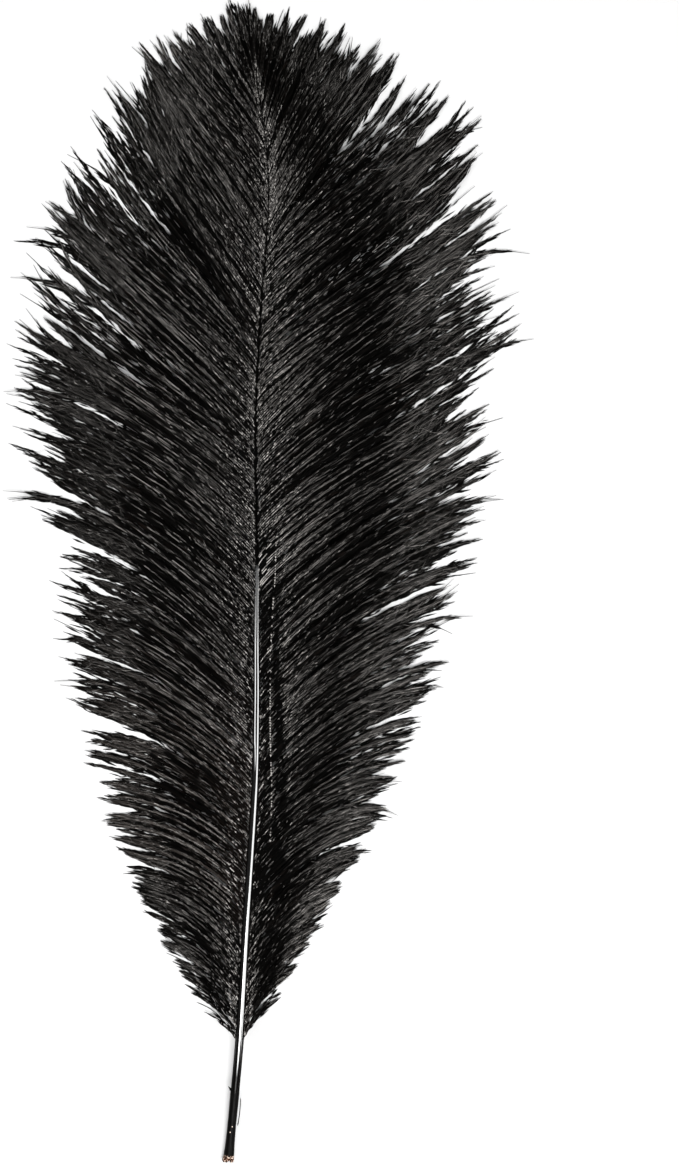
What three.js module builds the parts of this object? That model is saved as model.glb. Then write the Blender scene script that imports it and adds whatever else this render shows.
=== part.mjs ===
// Black ostrich feather, lying on a flat surface with its upper face to the sky.
// Millimetres, +Z up, +Y from the cut quill to the tip. The origin is the middle of
// the footprint, on the surface that the feather lies on.
import * as THREE from 'three';

// Shaft: place of its centre line and its width at stations along Y, from the cut end to the tip.
// The cut end and the rims of the vanes touch the surface, and the shaft arches between them.
const SHAFT = [
  { y: -266.7, x: -13.6, z: 2.5, width: 5.0 },
  { y: -262.0, x: -13.2, z: 2.7, width: 4.6 },
  { y: -257.0, x: -12.7, z: 3.0, width: 4.0 },
  { y: -233.5, x: -10.4, z: 5.6, width: 4.0 },
  { y: -212.8, x: -8.5, z: 8.0, width: 4.0 },
  { y: -191.6, x: -7.1, z: 9.8, width: 4.0 },
  { y: -159.4, x: -5.3, z: 11.7, width: 3.9 },
  { y: -122.6, x: -2.8, z: 13.0, width: 3.7 },
  { y: -90.4, x: -0.9, z: 13.6, width: 3.5 },
  { y: -53.6, x: -0.2, z: 14.0, width: 3.2 },
  { y: -26.0, x: -0.2, z: 14.0, width: 2.9 },
  { y: 10.8, x: 0.0, z: 13.6, width: 2.4 },
  { y: 38.4, x: -0.5, z: 13.0, width: 2.1 },
  { y: 61.4, x: -0.7, z: 12.3, width: 1.8 },
  { y: 84.4, x: -0.5, z: 11.5, width: 1.6 },
  { y: 107.4, x: 0.5, z: 10.6, width: 1.4 },
  { y: 130.4, x: 1.9, z: 9.5, width: 1.25 },
  { y: 153.4, x: 3.9, z: 8.4, width: 1.1 },
  { y: 176.4, x: 5.2, z: 7.3, width: 1.0 },
  { y: 199.4, x: 4.0, z: 6.2, width: 0.9 },
  { y: 222.4, x: 0.7, z: 5.1, width: 0.8 },
  { y: 236.0, x: -1.0, z: 4.5, width: 0.7 },
];
const SHAFT_SIDES = 12;
const SHAFT_RINGS = 56;

// Barbs: root on the shaft, length, and heading away from +Y at the root, half way and at the tip.
const LEFT_BARBS = [
  { y: -209.5, length: 18, heading: [40, 55, 70] },
  { y: -204.0, length: 34, heading: [34, 50, 68] },
  { y: -182.0, length: 55, heading: [32, 54, 76] },
  { y: -159.0, length: 64, heading: [34, 62, 78] },
  { y: -136.0, length: 71, heading: [40, 66, 84] },
  { y: -110.0, length: 90, heading: [42, 62, 80] },
  { y: -67.5, length: 106, heading: [44, 58, 72] },
  { y: -44.0, length: 115, heading: [42, 54, 74] },
  { y: -21.0, length: 128, heading: [44, 55, 67] },
  { y: 2.0, length: 135, heading: [42, 56, 70] },
  { y: 25.0, length: 136, heading: [42, 56, 62] },
  { y: 48.0, length: 130, heading: [46, 56, 50] },
  { y: 71.0, length: 134, heading: [42, 47, 42] },
  { y: 94.0, length: 124, heading: [40, 48, 38] },
  { y: 117.0, length: 122, heading: [34, 34, 32] },
  { y: 140.0, length: 114, heading: [34, 33, 26] },
  { y: 163.0, length: 100, heading: [30, 36, 32] },
  { y: 186.0, length: 77, heading: [30, 40, 34] },
  { y: 209.0, length: 57, heading: [28, 33, 30] },
  { y: 222.0, length: 46, heading: [20, 25, 24] },
  { y: 234.0, length: 34, heading: [8, 12, 14] },
];
const RIGHT_BARBS = [
  { y: -209.5, length: 18, heading: [36, 46, 66] },
  { y: -204.0, length: 36, heading: [30, 41, 64] },
  { y: -182.0, length: 60, heading: [28, 46, 69] },
  { y: -159.0, length: 71, heading: [30, 54, 76] },
  { y: -136.0, length: 75, heading: [32, 58, 82] },
  { y: -110.0, length: 89, heading: [36, 58, 76] },
  { y: -67.5, length: 110, heading: [40, 57, 72] },
  { y: -44.0, length: 118, heading: [42, 56, 72] },
  { y: -21.0, length: 125, heading: [42, 56, 62] },
  { y: 2.0, length: 127, heading: [42, 58, 54] },
  { y: 25.0, length: 135, heading: [44, 58, 56] },
  { y: 48.0, length: 139, heading: [44, 56, 56] },
  { y: 71.0, length: 140, heading: [42, 52, 58] },
  { y: 94.0, length: 133, heading: [46, 57, 46] },
  { y: 117.0, length: 125, heading: [46, 48, 42] },
  { y: 140.0, length: 112, heading: [40, 53, 45] },
  { y: 163.0, length: 99, heading: [28, 33, 38] },
  { y: 186.0, length: 74, heading: [22, 28, 36] },
  { y: 209.0, length: 55, heading: [15, 18, 26] },
  { y: 222.0, length: 45, heading: [9, 12, 20] },
  { y: 234.0, length: 33, heading: [0, 2, 6] },
];

// Vane: one closed sheet a side, with the rim drawn out into pointed locks.
const VANE_GAP = 0.4;
const VANE_THICKNESS = 3.2;
const RIM_THICKNESS = 1.6;
const FLAT_FROM = 0.66;
const LOCKS = 44;
const LOCK_DEPTH = 0.035;
const STEPS_ALONG_BARB = 10;

// Colours read from the feather.
const SHAFT_FINISH = { color: 0x0b0a0a, roughness: 0.22, metalness: 0 };
const VANE_FINISH = { color: 0x121110, roughness: 0.6, metalness: 0 };

// Returns a function of y that passes smoothly through the values of the stations.
function through(stations, pick) {
  const places = stations.map((station) => station.y);
  const values = stations.map(pick);
  const curve = new THREE.CubicInterpolant(places, values, 1);
  return (y) => curve.evaluate(THREE.MathUtils.clamp(y, places[0], places.at(-1)))[0];
}

const shaftX = through(SHAFT, (station) => station.x);
const shaftZ = through(SHAFT, (station) => station.z);
const shaftWidth = through(SHAFT, (station) => station.width);

// Makes a closed mesh geometry from a list of points and a list of triangles.
function solid(points, triangles) {
  const geometry = new THREE.BufferGeometry();
  geometry.setAttribute('position', new THREE.Float32BufferAttribute(points.flat(), 3));
  geometry.setIndex(triangles.flat());
  geometry.computeVertexNormals();
  return geometry;
}

// Round rod: rings of points about the centre line, closed by a fan at each end.
function shaftGeometry() {
  const first = SHAFT[0].y;
  const last = SHAFT.at(-1).y;
  const points = [];
  const triangles = [];
  for (let ring = 0; ring <= SHAFT_RINGS; ring += 1) {
    const y = THREE.MathUtils.lerp(first, last, ring / SHAFT_RINGS);
    const radius = shaftWidth(y) / 2;
    for (let side = 0; side < SHAFT_SIDES; side += 1) {
      const turn = (2 * Math.PI * side) / SHAFT_SIDES;
      points.push([shaftX(y) + radius * Math.sin(turn), y, shaftZ(y) + radius * Math.cos(turn)]);
    }
  }
  for (let ring = 0; ring < SHAFT_RINGS; ring += 1) {
    for (let side = 0; side < SHAFT_SIDES; side += 1) {
      const here = ring * SHAFT_SIDES + side;
      const beside = ring * SHAFT_SIDES + ((side + 1) % SHAFT_SIDES);
      triangles.push([here, beside, here + SHAFT_SIDES]);
      triangles.push([beside, beside + SHAFT_SIDES, here + SHAFT_SIDES]);
    }
  }
  const lastRing = SHAFT_RINGS * SHAFT_SIDES;
  for (let side = 1; side < SHAFT_SIDES - 1; side += 1) {
    triangles.push([0, side + 1, side]);
    triangles.push([lastRing, lastRing + side, lastRing + side + 1]);
  }
  return solid(points, triangles);
}

// Points of one barb, root first. Its heading is a parabola through its three given values.
function barbPath(rootY, side, length, heading) {
  const [start, middle, end] = heading.map((value) => THREE.MathUtils.degToRad(value));
  const step = length / STEPS_ALONG_BARB;
  let x = shaftX(rootY) + side * (shaftWidth(rootY) / 2 + VANE_GAP);
  let y = rootY;
  const path = [[x, y]];
  for (let count = 0; count < STEPS_ALONG_BARB; count += 1) {
    const t = (count + 0.5) / STEPS_ALONG_BARB;
    const angle = start * (1 - t) * (1 - 2 * t) + 4 * middle * t * (1 - t) + end * t * (2 * t - 1);
    x += side * step * Math.sin(angle);
    y += step * Math.cos(angle);
    path.push([x, y]);
  }
  return path;
}

// Sheet that follows the barbs. It leaves the shaft at the shaft's own height, droops along
// each barb, and lies flat on the surface from FLAT_FROM of the barb's length to the rim.
function vaneGeometry(barbs, side) {
  const lengthAt = through(barbs, (barb) => barb.length);
  const headingAt = [0, 1, 2].map((index) => through(barbs, (barb) => barb.heading[index]));
  const rows = 2 * LOCKS;
  const columns = STEPS_ALONG_BARB + 1;
  const top = [];
  const under = [];
  for (let row = 0; row <= rows; row += 1) {
    const rootY = THREE.MathUtils.lerp(barbs[0].y, barbs.at(-1).y, row / rows);
    const notch = row % 2 === 0 ? LOCK_DEPTH : 0;
    const heading = headingAt.map((at) => at(rootY));
    const path = barbPath(rootY, side, lengthAt(rootY) * (1 - notch), heading);
    path.forEach(([x, y], column) => {
      const t = column / STEPS_ALONG_BARB;
      const droop = 1 - THREE.MathUtils.smoothstep(t, 0, FLAT_FROM);
      const thickness = THREE.MathUtils.lerp(VANE_THICKNESS, RIM_THICKNESS, t * t);
      const floor = Math.max(0, shaftZ(rootY) - VANE_THICKNESS / 2) * droop;
      under.push([x, y, floor]);
      top.push([x, y, floor + thickness]);
    });
  }
  return sheet(top, under, rows + 1, columns, side);
}

// Closes two grids of points, one above the other, into one body.
function sheet(top, under, rows, columns, side) {
  const below = top.length;
  const at = (row, column) => row * columns + column;
  const triangles = [];
  const quad = (a, b, c, d) => triangles.push([a, b, c], [a, c, d]);
  for (let row = 0; row < rows - 1; row += 1) {
    for (let column = 0; column < columns - 1; column += 1) {
      const corners = [at(row, column), at(row, column + 1), at(row + 1, column + 1), at(row + 1, column)];
      quad(...corners);
      quad(...corners.map((corner) => corner + below).reverse());
    }
    const root = [at(row, 0), at(row + 1, 0)];
    const rim = [at(row, columns - 1), at(row + 1, columns - 1)];
    quad(root[0], root[1], root[1] + below, root[0] + below);
    quad(rim[1], rim[0], rim[0] + below, rim[1] + below);
  }
  for (let column = 0; column < columns - 1; column += 1) {
    const foot = [at(0, column), at(0, column + 1)];
    const head = [at(rows - 1, column), at(rows - 1, column + 1)];
    quad(foot[1], foot[0], foot[0] + below, foot[1] + below);
    quad(head[0], head[1], head[1] + below, head[0] + below);
  }
  const outward = side > 0 ? triangles : triangles.map((triangle) => [...triangle].reverse());
  return solid([...top, ...under], outward);
}

function piece(name, geometry, finish) {
  const mesh = new THREE.Mesh(geometry, new THREE.MeshStandardMaterial(finish));
  mesh.name = name;
  return mesh;
}

const group = new THREE.Group();
group.add(piece('shaft', shaftGeometry(), SHAFT_FINISH));
group.add(piece('left_vane', vaneGeometry(LEFT_BARBS, -1), VANE_FINISH));
group.add(piece('right_vane', vaneGeometry(RIGHT_BARBS, 1), VANE_FINISH));

export default group;
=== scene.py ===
"""Black ostrich plume lying on a pale surface, seen from straight above.

Every barb and barbule is a small closed mesh worked out with numpy: a barb is a tapering
three-sided tube along a path, and a barbule is an arched four-faced sliver that leaves the barb.
Lengths are in millimetres and angles in degrees, unless a comment says otherwise.
"""

import logging
from dataclasses import dataclass
from enum import Enum

import bpy
import numpy as np
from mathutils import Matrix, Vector
from numpy.typing import NDArray


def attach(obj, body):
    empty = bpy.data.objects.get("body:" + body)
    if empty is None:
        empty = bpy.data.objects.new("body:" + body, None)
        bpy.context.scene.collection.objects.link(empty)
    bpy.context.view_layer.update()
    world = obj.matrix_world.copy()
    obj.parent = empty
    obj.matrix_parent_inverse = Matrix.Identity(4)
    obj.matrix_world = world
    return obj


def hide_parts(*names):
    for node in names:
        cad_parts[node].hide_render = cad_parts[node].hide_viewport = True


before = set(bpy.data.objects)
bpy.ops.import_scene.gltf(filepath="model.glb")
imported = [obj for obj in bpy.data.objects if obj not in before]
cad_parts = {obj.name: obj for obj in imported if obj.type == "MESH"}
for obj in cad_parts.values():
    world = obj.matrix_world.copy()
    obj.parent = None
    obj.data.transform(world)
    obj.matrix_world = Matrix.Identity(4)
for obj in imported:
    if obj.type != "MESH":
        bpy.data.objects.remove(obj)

Array = NDArray[np.float64]
Whole = NDArray[np.int64]
Pair = tuple[float, float]
Triple = tuple[float, float, float]
Colour = Triple
Socket = bpy.types.NodeSocket

MM = 0.001
MAP_NAME = "OFBake"
WHITE = (1.0, 1.0, 1.0)
LOG = logging.getLogger("ostrich_feather")


class Side(Enum):
    """Which side of the shaft a vane grows on. The value is the sign of X there."""

    LEFT = -1
    RIGHT = 1


def smooth_through(at: Array, places: Array, values: Array) -> Array:
    """Reads a curve that passes through given points without overshooting.

    The curve is a cubic Hermite. Its slope at a point is the weighted harmonic mean of the
    slopes of the two straight pieces that meet there, or level where they change sign.

    Args:
        at: where to read the curve.
        places: rising places of the given points.
        values: values at those places.

    Returns:
        The curve's value at each place in at.
    """
    span = np.diff(places)
    slope = np.diff(values) / span
    before, after = slope[:-1], slope[1:]
    rising = before * after > 0
    weight_before, weight_after = span[:-1] + 2 * span[1:], 2 * span[:-1] + span[1:]
    safe_before = np.where(rising, before, 1.0)
    safe_after = np.where(rising, after, 1.0)
    mean = (weight_before + weight_after) / (weight_before / safe_before + weight_after / safe_after)
    tangent = np.concatenate([slope[:1], np.where(rising, mean, 0.0), slope[-1:]])
    index = np.clip(np.searchsorted(places, at) - 1, 0, len(span) - 1)
    t = np.clip((at - places[index]) / span[index], 0.0, 1.0)
    return (
        values[index] * (1 + 2 * t) * (1 - t) ** 2
        + values[index + 1] * t**2 * (3 - 2 * t)
        + span[index] * t * (1 - t) * (tangent[index] * (1 - t) - tangent[index + 1] * t)
    )


def smoothstep(at: Array, low: float, high: float) -> Array:
    """Rises from 0 at low to 1 at high along 3t^2 - 2t^3."""
    t = np.clip((at - low) / (high - low), 0.0, 1.0)
    return t * t * (3 - 2 * t)


def hump(at: Array, centre: float | Array, reach: float) -> Array:
    """Bell of height 1 round a centre: the exponential of minus the squared distance in reaches."""
    return np.exp(-(((at - centre) / reach) ** 2))


def between(pair: Pair, share: Array) -> Array:
    """Value at shares of the way from a pair's first number to its second."""
    return pair[0] + (pair[1] - pair[0]) * share


def waves(turn: Array, parts: tuple[Triple, ...]) -> Array:
    """Sum of sines of the angle, each given as its count of waves, its phase and its height."""
    return sum(height * np.sin(count * turn + phase) for count, phase, height in parts)


def unit(vectors: Array) -> Array:
    """Scales vectors, held in the last axis, to length one."""
    return vectors / np.maximum(np.linalg.norm(vectors, axis=-1, keepdims=True), 1e-12)


def joined(parts: list[tuple[Array, Whole]]) -> tuple[Array, Whole]:
    """Puts shapes into one pair of arrays.

    Args:
        parts: the points and faces of each shape.

    Returns:
        All points, and all faces with their vertices renumbered to suit.
    """
    starts = np.cumsum([0] + [len(points) for points, _ in parts[:-1]])
    faces = [some + start for (_, some), start in zip(parts, starts)]
    return np.concatenate([points for points, _ in parts]), np.concatenate(faces)


def tube_faces(rings: int, sides: int) -> Whole:
    """Lists the faces of a tube whose rings are numbered in turn, with both ends closed by fans.

    Args:
        rings: how many rings the tube has.
        sides: how many points each ring has.

    Returns:
        Vertex numbers, three to a face, facing out when each ring turns left seen from its start.
    """
    ring, side = np.meshgrid(np.arange(rings - 1), np.arange(sides), indexing="ij")
    here = (ring * sides + side).ravel()
    beside = (ring * sides + (side + 1) % sides).ravel()
    walls = np.concatenate(
        [
            np.stack([here, beside, beside + sides], 1),
            np.stack([here, beside + sides, here + sides], 1),
        ]
    )
    fan = np.arange(1, sides - 1)
    zero = np.zeros_like(fan)
    first = np.stack([zero, fan + 1, fan], 1)
    last = np.stack([zero, fan, fan + 1], 1) + (rings - 1) * sides
    return np.concatenate([walls, first, last])


def thread(route: Array, radii: Array, sides: int = 8) -> tuple[Array, Whole]:
    """Makes a closed thread along a route. Each of its rings is a circle square to Y.

    Args:
        route: points of the centre.
        radii: the radius at each point.
        sides: points in each ring.

    Returns:
        Points and faces of the thread.
    """
    turn = np.linspace(0, 2 * np.pi, sides, endpoint=False)
    ring = np.stack([np.sin(turn), 0 * turn, np.cos(turn)], -1)
    points = route[:, None] + radii[:, None, None] * ring[None]
    return points.reshape(-1, 3), tube_faces(len(route), sides)


def solid_object(
    name: str,
    points: Array,
    triangles: Whole,
    uv: Array | None,
    materials: tuple[bpy.types.Material, ...],
    smooth: bool,
    finish: Whole,
) -> bpy.types.Object:
    """Puts arrays of points and triangles into a mesh object at the origin.

    Args:
        name: the object's name.
        points: one row of X, Y, Z per vertex.
        triangles: one row of three vertex numbers per face, turning left seen from outside.
        uv: one row of U, V per vertex, or None for a piece without a map.
        materials: the finishes.
        smooth: whether the faces are shaded smooth.
        finish: each face's number in materials.

    Returns:
        The new object, linked to the scene.
    """
    mesh = bpy.data.meshes.new(name)
    mesh.vertices.add(len(points))
    mesh.vertices.foreach_set("co", (points * MM).astype(np.float32).ravel())
    mesh.loops.add(triangles.size)
    mesh.loops.foreach_set("vertex_index", triangles.astype(np.int32).ravel())
    mesh.polygons.add(len(triangles))
    mesh.polygons.foreach_set("loop_start", np.arange(0, triangles.size, 3, dtype=np.int32))
    mesh.polygons.foreach_set("use_smooth", np.full(len(triangles), smooth))
    mesh.polygons.foreach_set("material_index", finish.astype(np.int32))
    if uv is not None:
        layer = mesh.uv_layers.new(name=MAP_NAME)
        layer.uv.foreach_set("vector", uv[triangles.ravel()].astype(np.float32).ravel())
    for material in materials:
        mesh.materials.append(material)
    mesh.update(calc_edges=True)
    mesh.validate()
    made = bpy.data.objects.new(name, mesh)
    bpy.context.scene.collection.objects.link(made)
    return made


class Nodes:
    """Short way to make and link the nodes of one material."""

    MIX_FACTOR, MIX_FIRST, MIX_SECOND = 0, 6, 7
    MIX_RESULT = 2
    GRAIN_DETAIL = 3.0

    def __init__(self, name: str) -> None:
        """Starts a material with its Principled shader and output.

        Args:
            name: the material's name.
        """
        self.material = bpy.data.materials.new(name)
        self.material.use_nodes = True
        self.tree = self.material.node_tree
        self.shader = self.tree.nodes["Principled BSDF"]

    def add(self, kind: str, **settings: object) -> bpy.types.Node:
        """Adds a node.

        Args:
            kind: the node's type.
            settings: values of the node's own properties.

        Returns:
            The new node.
        """
        node = self.tree.nodes.new(kind)
        for key, value in settings.items():
            setattr(node, key, value)
        return node

    def feed(self, value: Socket | float | Colour, socket: Socket) -> None:
        """Links an output to an input, or sets the input.

        Args:
            value: an output, a number or a colour.
            socket: the input.
        """
        if isinstance(value, Socket):
            self.tree.links.new(value, socket)
        elif isinstance(value, tuple):
            socket.default_value = (*value, 1.0)
        else:
            socket.default_value = value

    def set(self, name: str, value: Socket | float | Colour) -> None:
        """Feeds one of the shader's own inputs."""
        self.feed(value, self.shader.inputs[name])

    def apart(self, vector: Socket) -> tuple[Socket, Socket, Socket]:
        """Splits a vector.

        Args:
            vector: the vector's output.

        Returns:
            Outputs for its X, Y and Z.
        """
        node = self.add("ShaderNodeSeparateXYZ")
        self.feed(vector, node.inputs[0])
        return tuple(node.outputs)

    def map_place(self) -> tuple[Socket, Socket, Socket]:
        """Outputs for U and V of the piece's own map, and a third one that is always 0."""
        return self.apart(self.add("ShaderNodeUVMap", uv_map=MAP_NAME).outputs["UV"])

    def object_place(self) -> Socket:
        """Output for places on the piece in its own frame."""
        return self.add("ShaderNodeTexCoord").outputs["Object"]

    def noise(self, vector: Socket, scale: float, detail: float) -> Socket:
        """Adds noise.

        Args:
            vector: where the noise is read.
            scale: how fine it is.
            detail: how many finer layers it has.

        Returns:
            Output for its value.
        """
        node = self.add("ShaderNodeTexNoise")
        self.feed(vector, node.inputs["Vector"])
        self.feed(scale, node.inputs["Scale"])
        self.feed(detail, node.inputs["Detail"])
        return node.outputs["Fac"]

    def lengthwise_grain(self, place: Socket, across: float, along: float) -> Socket:
        """Adds noise drawn out along Y.

        Args:
            place: places on the piece.
            across: waves to a metre in X and Z.
            along: waves to a metre in Y.

        Returns:
            Output for its value.
        """
        streaks = self.add("ShaderNodeMapping")
        self.feed(place, streaks.inputs["Vector"])
        streaks.inputs["Scale"].default_value = (across, along, across)
        return self.noise(streaks.outputs["Vector"], 1.0, self.GRAIN_DETAIL)

    def ramp(self, value: Socket, stops: tuple[tuple[float, Colour], ...]) -> Socket:
        """Colours a value.

        Args:
            value: the value's output.
            stops: places from 0 to 1 with their colours.

        Returns:
            Output for the colour.
        """
        node = self.add("ShaderNodeValToRGB")
        elements = node.color_ramp.elements
        while len(elements) < len(stops):
            elements.new(1.0)
        for element, (place, colour) in zip(elements, stops):
            element.position = place
            element.color = (*colour, 1.0)
        self.feed(value, node.inputs["Fac"])
        return node.outputs["Color"]

    def mix(
        self, factor: Socket | float, first: Socket | Colour, second: Socket | Colour, blend: str = "MIX"
    ) -> Socket:
        """Mixes two colours.

        Args:
            factor: the second colour's share.
            first: the first colour.
            second: the second colour.
            blend: the way of mixing.

        Returns:
            Output for the result.
        """
        node = self.add("ShaderNodeMix", data_type="RGBA", blend_type=blend)
        self.feed(factor, node.inputs[self.MIX_FACTOR])
        self.feed(first, node.inputs[self.MIX_FIRST])
        self.feed(second, node.inputs[self.MIX_SECOND])
        return node.outputs[self.MIX_RESULT]

    def math(self, operation: str, *values: Socket | float) -> Socket:
        """Works out one arithmetic step.

        Args:
            operation: the step's name.
            values: what it works on.

        Returns:
            Output for the result.
        """
        node = self.add("ShaderNodeMath", operation=operation)
        for value, socket in zip(values, node.inputs):
            self.feed(value, socket)
        return node.outputs[0]

    def spread(self, value: Socket, low: float, high: float, to: Pair) -> Socket:
        """Maps a value from one range to another, and holds it inside that.

        Args:
            value: the value's output.
            low: lower end of its range.
            high: upper end of its range.
            to: what the two ends become.

        Returns:
            Output for the result.
        """
        node = self.add("ShaderNodeMapRange")
        self.feed(value, node.inputs["Value"])
        for name, number in zip(("From Min", "From Max", "To Min", "To Max"), (low, high, *to)):
            self.feed(number, node.inputs[name])
        return node.outputs["Result"]


@dataclass(frozen=True)
class BarbFinish:
    """Dyed barbs and barbules: warm black, with random greys that are partly painted glint."""

    deep: Colour = (0.0010, 0.0008, 0.0007)
    body: Colour = (0.0026, 0.0022, 0.0020)
    body_at: float = 0.45
    # The lighter grey tones are partly real tone and partly painted glint.
    greyer: Colour = (0.0090, 0.0077, 0.0070)
    greyer_at: float = 0.8
    pale: Colour = (0.032, 0.027, 0.024)
    # Painted shade: the colour darkens towards each barbule's and stem's root, and a little at its point.
    root_shade: Colour = (0.55, 0.53, 0.52)
    shaded_until: float = 0.35
    point_shade: Colour = (0.9, 0.9, 0.9)
    glint: Colour = (1.0, 0.95, 0.90)
    roughness: float = 0.25
    specular: float = 0.5

    def material(self) -> bpy.types.Material:
        """Builds the material.

        The map's U is each strand's own tone, and V runs from its root to its point: the colour
        climbs from deep to pale with U, the lighter greys partly painted glint, and painted shade
        darkens it at the root and a little at the point.

        Returns:
            The material.
        """
        nodes = Nodes("dyed_barbs")
        own_tone, along, _ = nodes.map_place()
        tone = nodes.ramp(
            own_tone,
            ((0.0, self.deep), (self.body_at, self.body), (self.greyer_at, self.greyer), (1.0, self.pale)),
        )
        shade = nodes.ramp(
            along, ((0.0, self.root_shade), (self.shaded_until, WHITE), (1.0, self.point_shade))
        )
        nodes.set("Base Color", nodes.mix(1.0, tone, shade, "MULTIPLY"))
        nodes.set("Roughness", self.roughness)
        nodes.set("Specular IOR Level", self.specular)
        nodes.set("Specular Tint", self.glint)
        return nodes.material


@dataclass(frozen=True)
class PaintedShadeFinish:
    """Keratin with painted shade: nearly black, and too rough to glint.

    It dresses the down under the top barbules, and the shaft's flanks and closed-over groove.
    """

    colour: Colour = (0.0007, 0.0006, 0.0005)
    brown: Colour = (0.0042, 0.0028, 0.0022)
    brown_from: float = 0.6
    roughness: float = 0.7
    specular: float = 0.02

    def material(self, name: str) -> bpy.types.Material:
        """Builds the material: black that turns brown with the map's U, each barbule's own tone.

        Args:
            name: the material's name.

        Returns:
            The material.
        """
        nodes = Nodes(name)
        own_tone, _, _ = nodes.map_place()
        stops = ((0.0, self.colour), (self.brown_from, self.colour), (1.0, self.brown))
        nodes.set("Base Color", nodes.ramp(own_tone, stops))
        nodes.set("Roughness", self.roughness)
        nodes.set("Specular IOR Level", self.specular)
        return nodes.material


@dataclass(frozen=True)
class PolishedFinish:
    """Polished black keratin above the ring.

    It is duller up in the groove between the vanes, and its gloss fades towards the ring.
    Grains are in waves to a metre.
    """

    keratin: Colour = (0.0018, 0.0016, 0.0015)
    gloss: float = 0.06
    uneven: float = 0.05
    grain_across: float = 2600.0
    grain_along: float = 90.0
    dull_from: float = -32.0
    dull_full: float = 0.0
    dull: float = 0.4
    scuffed_from: float = -206.0
    scuffed_full: float = -227.0
    scuffed_tint: float = 0.03
    ior: float = 2.5
    bump: float = 0.06
    bump_depth: float = 0.05

    def material(self) -> bpy.types.Material:
        """Builds the material.

        A fine lengthwise grain stands in its roughness and bump, the roughness rises up the
        shaft, and the tint of its reflections falls towards the ring.

        Returns:
            The material.
        """
        nodes = Nodes("polished_keratin")
        place = nodes.object_place()
        _, y, _ = nodes.apart(place)
        grain = nodes.lengthwise_grain(place, self.grain_across, self.grain_along)
        rough = nodes.math("ADD", self.gloss, nodes.math("MULTIPLY", grain, self.uneven))
        dull = nodes.spread(y, self.dull_from * MM, self.dull_full * MM, (0.0, self.dull))
        tint = nodes.spread(y, self.scuffed_full * MM, self.scuffed_from * MM, (self.scuffed_tint, 1.0))
        bump = nodes.add("ShaderNodeBump")
        nodes.feed(self.bump, bump.inputs["Strength"])
        nodes.feed(self.bump_depth * MM, bump.inputs["Distance"])
        nodes.feed(grain, bump.inputs["Height"])
        nodes.set("Base Color", self.keratin)
        nodes.set("Roughness", nodes.math("ADD", rough, dull))
        nodes.set("Specular Tint", tint)
        nodes.set("Normal", bump.outputs["Normal"])
        nodes.set("IOR", self.ior)
        return nodes.material


@dataclass(frozen=True)
class SheathFinish:
    """Matt, scuffed keratin of the quill below the ring, torn at the cut.

    Grains and crumbs are in waves to a metre, and the flecks are given by X and Y.
    """

    keratin: Colour = (0.0008, 0.0007, 0.0007)
    scuffed: Colour = (0.0045, 0.0041, 0.0038)
    grain_across: float = 2600.0
    grain_along: float = 160.0
    scuffed_between: Pair = (0.48, 0.66)
    cut_brown: Colour = (0.10, 0.032, 0.012)
    cut_pale: Colour = (0.75, 0.62, 0.52)
    cut_y: float = -263.4
    cut_fade: float = 1.4
    crumbs: float = 1500.0
    crumb_detail: float = 2.0
    crumb_brown: Pair = (0.5, 0.57)
    crumb_edge: Pair = (0.46, 0.6)
    flecks: tuple[Pair, ...] = ((-11.7, -250.3), (-12.65, -252.9))
    fleck_radius: float = 0.30
    fleck_core: float = 0.6
    fleck_strength: float = 0.8
    roughness: float = 0.45
    specular: float = 0.04

    def fleck(self, nodes: Nodes, x: Socket, y: Socket, centre: Pair) -> Socket:
        """Adds a round fleck, full inside its core and gone at its radius.

        Args:
            nodes: the material's nodes.
            x: output for X on the piece.
            y: output for Y on the piece.
            centre: the fleck's X and Y.

        Returns:
            Output for how strongly it shows.
        """
        away = nodes.add("ShaderNodeVectorMath", operation="DISTANCE")
        flat = nodes.add("ShaderNodeCombineXYZ")
        nodes.feed(x, flat.inputs["X"])
        nodes.feed(y, flat.inputs["Y"])
        nodes.feed(flat.outputs[0], away.inputs[0])
        away.inputs[1].default_value = (centre[0] * MM, centre[1] * MM, 0.0)
        core = self.fleck_radius * self.fleck_core * MM
        return nodes.spread(
            away.outputs["Value"], core, self.fleck_radius * MM, (self.fleck_strength, 0.0)
        )

    def material(self) -> bpy.types.Material:
        """Builds the material from places on the quill in its own frame.

        Lengthwise scuffs lighten it, two pale flecks lie near the end, and the last
        millimetres are torn brown and white.

        Returns:
            The material.
        """
        nodes = Nodes("scuffed_sheath")
        place = nodes.object_place()
        x, y, _ = nodes.apart(place)
        grain = nodes.lengthwise_grain(place, self.grain_across, self.grain_along)
        crumbs = nodes.noise(place, self.crumbs, self.crumb_detail)
        greyer = nodes.spread(grain, *self.scuffed_between, (0.0, 1.0))
        skin = nodes.mix(greyer, self.keratin, self.scuffed)
        for centre in self.flecks:
            skin = nodes.mix(self.fleck(nodes, x, y, centre), skin, self.cut_pale)
        torn = nodes.spread(y, (self.cut_y - self.cut_fade) * MM, self.cut_y * MM, (1.0, 0.0))
        ragged = nodes.ramp(
            crumbs,
            (
                (0.0, self.keratin),
                (self.crumb_edge[0], self.keratin),
                (self.crumb_brown[0], self.cut_brown),
                (self.crumb_brown[1], self.cut_brown),
                (self.crumb_edge[1], self.cut_pale),
                (1.0, self.cut_pale),
            ),
        )
        nodes.set("Base Color", nodes.mix(torn, skin, ragged))
        nodes.set("Roughness", self.roughness)
        nodes.set("Specular IOR Level", self.specular)
        return nodes.material


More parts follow.
